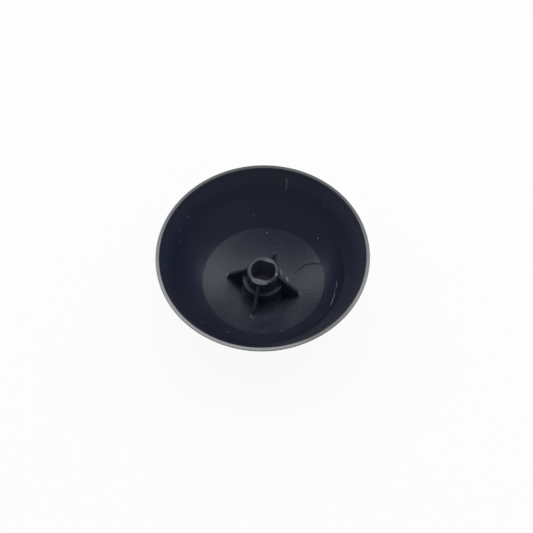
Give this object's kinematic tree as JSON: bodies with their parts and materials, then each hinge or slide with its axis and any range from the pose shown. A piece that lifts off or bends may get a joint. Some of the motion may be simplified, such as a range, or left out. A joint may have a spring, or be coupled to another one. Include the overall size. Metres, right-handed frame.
{
  "type": "thumbstick cap",
  "caption": "Thin moulded dome cap for a game controller's stick, hollow inside, with a ribbed hub that holds a flatted shaft.",
  "frame": {"origin": "middle of the crown's small flat, which the cap rests on", "axes": "+Z along the cap's axis, out of its open side; the socket's two flats run along X and one rib points along each of +X, +Y, -X and -Y"},
  "size_m": [0.028, 0.028, 0.009],
  "materials": {
    "black_moulding": "black satin moulded plastic, paler on its trimmed rim and hub edge"
  },
  "bodies": {
    "root": {"thumbstick_cap": "black_moulding"}
  },
  "joints": []
}
